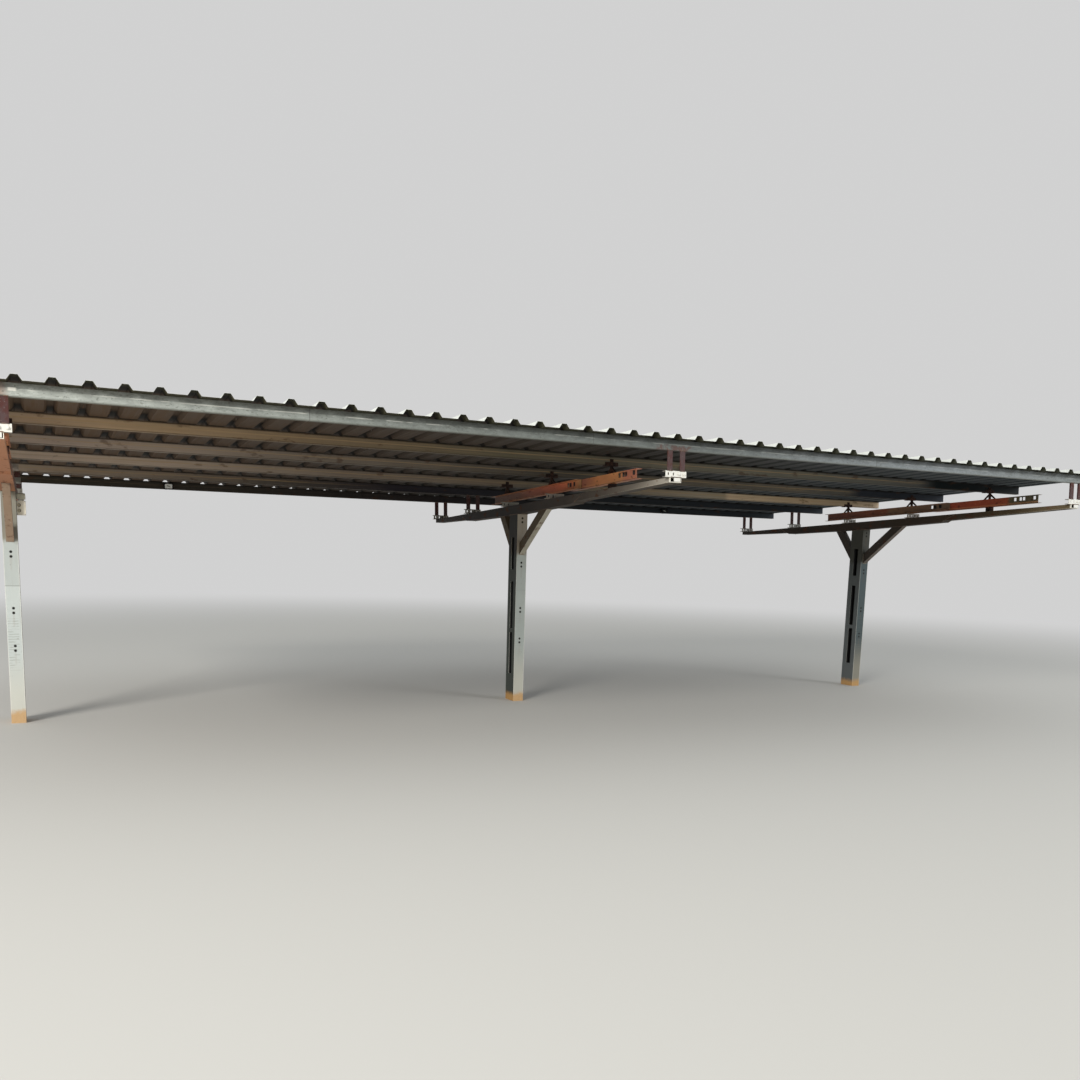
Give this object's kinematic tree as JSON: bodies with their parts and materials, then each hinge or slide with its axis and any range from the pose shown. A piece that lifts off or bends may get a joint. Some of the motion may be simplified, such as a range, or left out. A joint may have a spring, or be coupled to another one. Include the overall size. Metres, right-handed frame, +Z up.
{
  "type": "cantilever steel carport",
  "caption": "Open steel carport: a row of single columns with tapered rafters, raking braces, raised purlins and a ribbed sheet roof falling gently to the back.",
  "frame": {"origin": "the middle of the middle column's foot, on the ground", "axes": "+X along the row of columns, to the right seen from the open front; +Y to the back, where the roof is lowest; +Z up"},
  "size_m": [11.031, 5.7696, 2.6622],
  "materials": {
    "column_paint": "weathered pale grey paint, soil stained at the foot",
    "rafter_paint": "dull brown-grey paint, dusty",
    "brace_paint": "dull grey paint",
    "cleat_white": "white paint with chips",
    "post_primer": "red-brown primer with rust",
    "beam_orange": "faded orange paint, rusty along the edges",
    "rusty_steel": "bare steel, rusted dark",
    "purlin_zinc": "dull galvanised steel",
    "purlin_brown": "weathered tan-brown paint",
    "roof_zinc": "dull galvanised sheet, dusty and stained",
    "light_black": "satin black with a frosted pale face",
    "socket_cream": "sun-faded cream plastic"
  },
  "bodies": {
    "root": {"left_column": "column_paint", "left_rafter": "rafter_paint", "left_front_brace": "brace_paint", "left_rear_brace": "brace_paint", "left_cleats": "cleat_white", "left_posts": "post_primer", "left_front_upper_beam": "beam_orange", "left_rear_upper_beam": "beam_orange", "left_props": "rusty_steel", "middle_column": "column_paint", "middle_rafter": "rafter_paint", "middle_front_brace": "brace_paint", "middle_rear_brace": "brace_paint", "middle_cleats": "cleat_white", "middle_posts": "post_primer", "middle_front_upper_beam": "beam_orange", "middle_rear_upper_beam": "beam_orange", "middle_props": "rusty_steel", "right_column": "column_paint", "right_rafter": "rafter_paint", "right_front_brace": "brace_paint", "right_rear_brace": "brace_paint", "right_cleats": "cleat_white", "right_posts": "post_primer", "right_front_upper_beam": "beam_orange", "right_rear_upper_beam": "beam_orange", "right_props": "rusty_steel", "front_purlin": "purlin_zinc", "second_purlin": "purlin_brown", "third_purlin": "purlin_brown", "fourth_purlin": "purlin_brown", "fifth_purlin": "purlin_brown", "rear_purlin": "purlin_brown", "roof_sheet_01": "roof_zinc", "roof_sheet_02": "roof_zinc", "roof_sheet_03": "roof_zinc", "roof_sheet_04": "roof_zinc", "roof_sheet_05": "roof_zinc", "roof_sheet_06": "roof_zinc", "roof_sheet_07": "roof_zinc", "roof_sheet_08": "roof_zinc", "roof_sheet_09": "roof_zinc", "roof_sheet_10": "roof_zinc", "roof_sheet_11": "roof_zinc", "left_floodlight": "light_black", "right_floodlight": "light_black", "socket_box": "socket_cream", "socket_hood": "socket_cream"}
  },
  "joints": []
}
